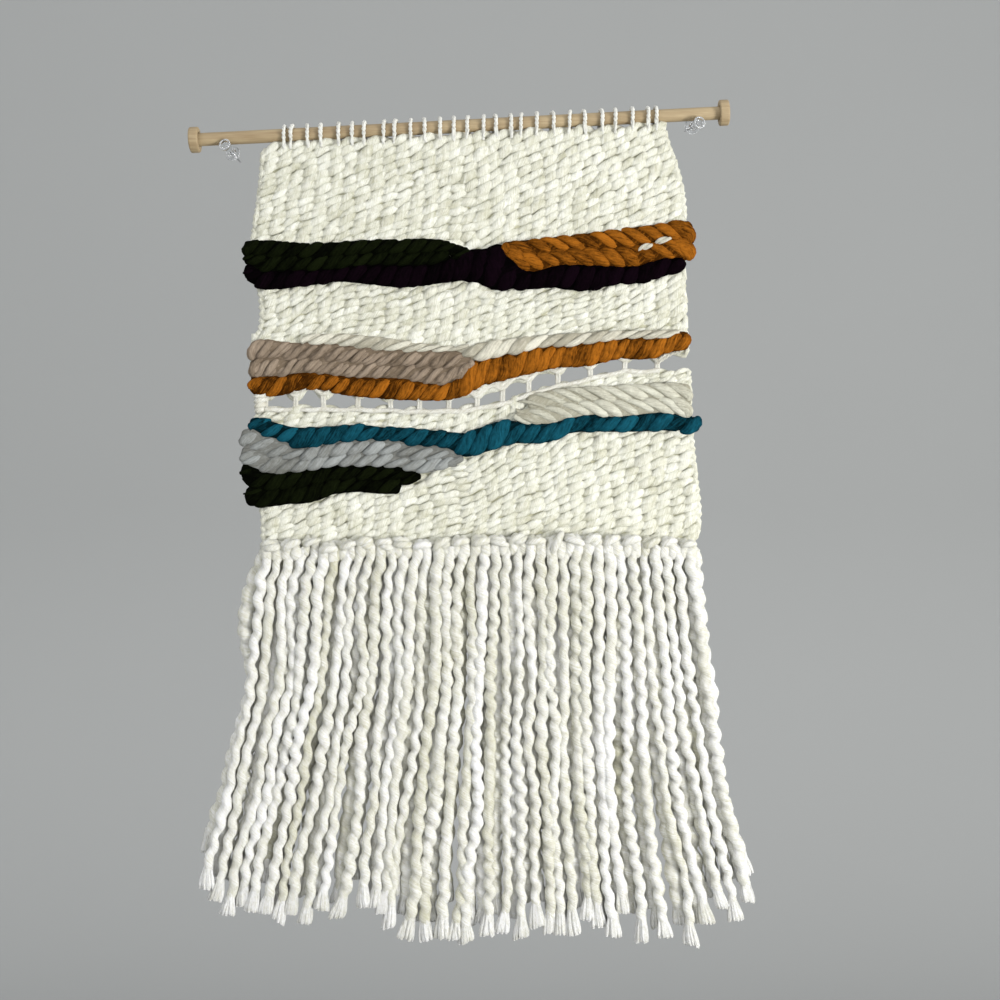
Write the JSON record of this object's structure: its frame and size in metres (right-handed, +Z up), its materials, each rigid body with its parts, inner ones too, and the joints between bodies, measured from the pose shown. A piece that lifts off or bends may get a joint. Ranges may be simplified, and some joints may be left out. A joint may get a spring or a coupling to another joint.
{
  "type": "woven fiber wall hanging on a wooden rod",
  "caption": "Flat cotton tapestry with soumak bands, an open row of bare warp and a long knotted fringe, looped over a wooden rod on push pins.",
  "frame": {"origin": "on the wall plane, behind the middle of the rod's axis", "axes": "+X along the wall to the right as seen from the front, -Y out of the wall towards the viewer, +Z up"},
  "size_m": [0.3646, 0.0264, 0.5499],
  "materials": {
    "pale_wood": "satin",
    "clear_plastic": "gloss",
    "pin_steel": "polished",
    "natural_cotton": "matte",
    "dark_green_yarn": "matte",
    "dark_purple_yarn": "matte",
    "ochre_yarn": "matte",
    "pale_grey_yarn": "matte",
    "taupe_yarn": "matte",
    "cream_yarn": "matte",
    "teal_yarn": "matte",
    "lavender_yarn": "matte",
    "fringe_cotton": "matte"
  },
  "bodies": {
    "root": {"rod": "pale_wood", "cap_left": "pale_wood", "cap_right": "pale_wood", "pin_left": "clear_plastic", "pin_right": "clear_plastic", "needle_left": "pin_steel", "needle_right": "pin_steel", "cloth_with_warp_loops": "natural_cotton", "soumak_green_upper": "dark_green_yarn", "soumak_purple": "dark_purple_yarn", "soumak_ochre_upper": "ochre_yarn", "soumak_pale": "pale_grey_yarn", "soumak_taupe": "taupe_yarn", "soumak_ochre_middle": "ochre_yarn", "soumak_cream": "cream_yarn", "soumak_teal": "teal_yarn", "soumak_lavender": "lavender_yarn", "soumak_green_lower": "dark_green_yarn", "accent_stitch_1": "pale_grey_yarn", "accent_stitch_2": "pale_grey_yarn", "fringe_front": "fringe_cotton", "fringe_back": "fringe_cotton"}
  },
  "joints": []
}
